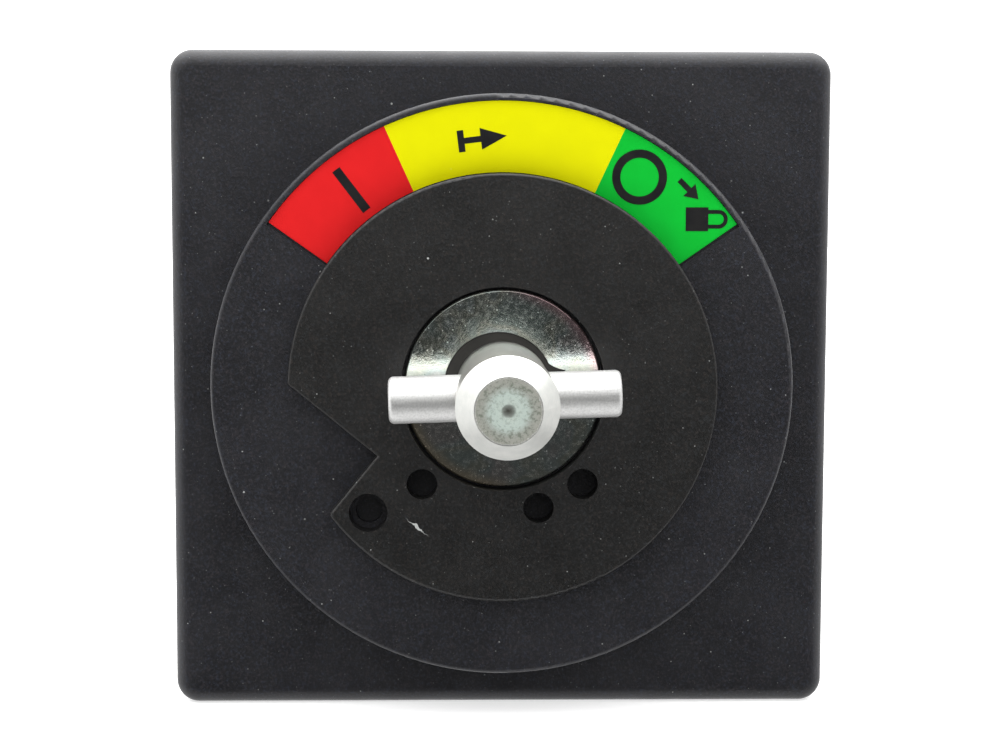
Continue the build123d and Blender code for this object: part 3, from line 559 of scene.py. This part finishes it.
def make_floor(level):
    """Wide pale floor under the object, and a white tent around it that only the camera sees."""
    mesh = bmesh.new()
    bmesh.ops.create_circle(mesh, cap_ends=True, segments=96, radius=FLOOR_R)
    bmesh.ops.translate(mesh, verts=mesh.verts, vec=(0, 0, level))
    floor = finish_piece("studio_floor", mesh, glowing_white("floor_paper", FLOOR_GLOW, FLOOR_ALBEDO))
    floor.visible_glossy = False

    mesh = bmesh.new()
    bmesh.ops.create_uvsphere(mesh, u_segments=48, v_segments=24, radius=TENT_R)
    tent = finish_piece("studio_tent", mesh, glowing_white("tent_paper", TENT_GLOW, TENT_ALBEDO))
    tent.visible_diffuse = False
    tent.visible_glossy = False
    tent.visible_shadow = False


def make_sky():
    """Soft light from all round: bright above, paler below, and dark straight in front."""
    world = bpy.data.worlds.new("studio")
    bpy.context.scene.world = world
    world.use_nodes = True
    tree = world.node_tree
    background = tree.nodes["Background"]
    background.inputs["Color"].default_value = (1, 1, 1, 1)

    def add(kind, **settings):
        node = tree.nodes.new(kind)
        for name, value in settings.items():
            setattr(node, name, value)
        return node

    direction = add("ShaderNodeTexCoord").outputs["Generated"]
    axes = add("ShaderNodeSeparateXYZ")
    tree.links.new(direction, axes.inputs[0])

    def span(source, values, results):
        node = add("ShaderNodeMapRange", interpolation_type="SMOOTHSTEP")
        tree.links.new(source, node.inputs["Value"])
        for label, number in zip(("From Min", "From Max", "To Min", "To Max"), (*values, *results)):
            node.inputs[label].default_value = number
        return node.outputs["Result"]

    def combine(operation, first, second):
        node = add("ShaderNodeMath", operation=operation)
        for socket, value in zip(node.inputs, (first, second)):
            if isinstance(value, float):
                socket.default_value = value
            else:
                tree.links.new(value, socket)
        return node.outputs[0]

    above = span(axes.outputs["Z"], ABOVE_FADE, (FRONT_DARK, ABOVE_LIGHT))
    below = span(axes.outputs["Z"], BELOW_FADE, (FRONT_DARK, BELOW_LIGHT))
    front = combine("MAXIMUM", above, below)
    behind = span(axes.outputs["Z"], BEHIND_FADE, (BELOW_LIGHT, ABOVE_LIGHT))
    left = span(axes.outputs["X"], LEFT_FADE, (0.0, LEFT_EXTRA))
    behind = combine("ADD", behind, left)
    share = span(axes.outputs["Y"], FRONT_TO_BEHIND, (0.0, 1.0))
    behind = combine("ADD", behind, span(axes.outputs["Y"], BACK_GLOW_FADE, (0.0, BACK_GLOW)))
    behind = combine("ADD", behind, span(axes.outputs["Z"], TOP_GLOW_FADE, (0.0, TOP_GLOW)))
    rest = combine("MULTIPLY", behind, share)
    kept = combine("MULTIPLY", front, combine("SUBTRACT", 1.0, share))
    tree.links.new(combine("ADD", rest, kept), background.inputs["Strength"])


def aim(thing, target):
    """Turn an object so that its -Z looks at the target."""
    thing.rotation_euler = (target - thing.location).to_track_quat("-Z", "Y").to_euler()


def make_light(name, place, size, power):
    data = bpy.data.lights.new(name, "AREA")
    data.shape = "RECTANGLE"
    data.size, data.size_y = size
    data.energy = power
    light = bpy.data.objects.new(name, data)
    bpy.context.scene.collection.objects.link(light)
    light.location = place
    aim(light, CAMERA_TARGET)
    return light


def make_camera():
    """Camera a little above and to the left of the shaft axis."""
    data = bpy.data.cameras.new("camera")
    data.sensor_width = 36.0
    data.lens = CAMERA_LENS
    data.clip_start = 0.01
    data.clip_end = 20.0
    camera = bpy.data.objects.new("camera", data)
    bpy.context.scene.collection.objects.link(camera)
    level = cos(CAMERA_ABOVE)
    forward = Vector((sin(CAMERA_LEFT) * level, cos(CAMERA_LEFT) * level, -sin(CAMERA_ABOVE)))
    right = Vector((cos(CAMERA_LEFT), -sin(CAMERA_LEFT), 0))
    up = right.cross(forward)
    turned_right = right * cos(CAMERA_ROLL) + up * sin(CAMERA_ROLL)
    turned_up = up * cos(CAMERA_ROLL) - right * sin(CAMERA_ROLL)
    rotation = Matrix((turned_right, turned_up, -forward)).transposed()
    place = Matrix.Translation(CAMERA_TARGET - forward * CAMERA_DISTANCE)
    camera.matrix_world = place @ rotation.to_4x4()
    bpy.context.scene.camera = camera


# ---- the scene -----------------------------------------------------------------------------
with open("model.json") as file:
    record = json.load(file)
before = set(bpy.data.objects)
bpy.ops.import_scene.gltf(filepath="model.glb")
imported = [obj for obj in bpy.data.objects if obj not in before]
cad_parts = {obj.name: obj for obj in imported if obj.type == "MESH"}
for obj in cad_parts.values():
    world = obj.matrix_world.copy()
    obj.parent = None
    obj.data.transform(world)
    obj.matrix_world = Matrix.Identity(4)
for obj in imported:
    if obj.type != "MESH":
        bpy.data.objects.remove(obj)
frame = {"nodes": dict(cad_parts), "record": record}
cad_low, cad_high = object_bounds()

finishes = make_materials()
paint_nodes(finishes)
for left_or_right in LEFT_RIGHT:
    make_stud(left_or_right, finishes["zinc_steel"])
    for low_or_high in LEFT_RIGHT:
        make_insert(left_or_right, low_or_high, finishes["brass"])

make_camera()
make_floor(cad_low.z)
make_sky()
make_light("key_above", KEY_PLACE, KEY_SIZE, KEY_POWER)
bpy.context.scene.view_settings.view_transform = "Standard"
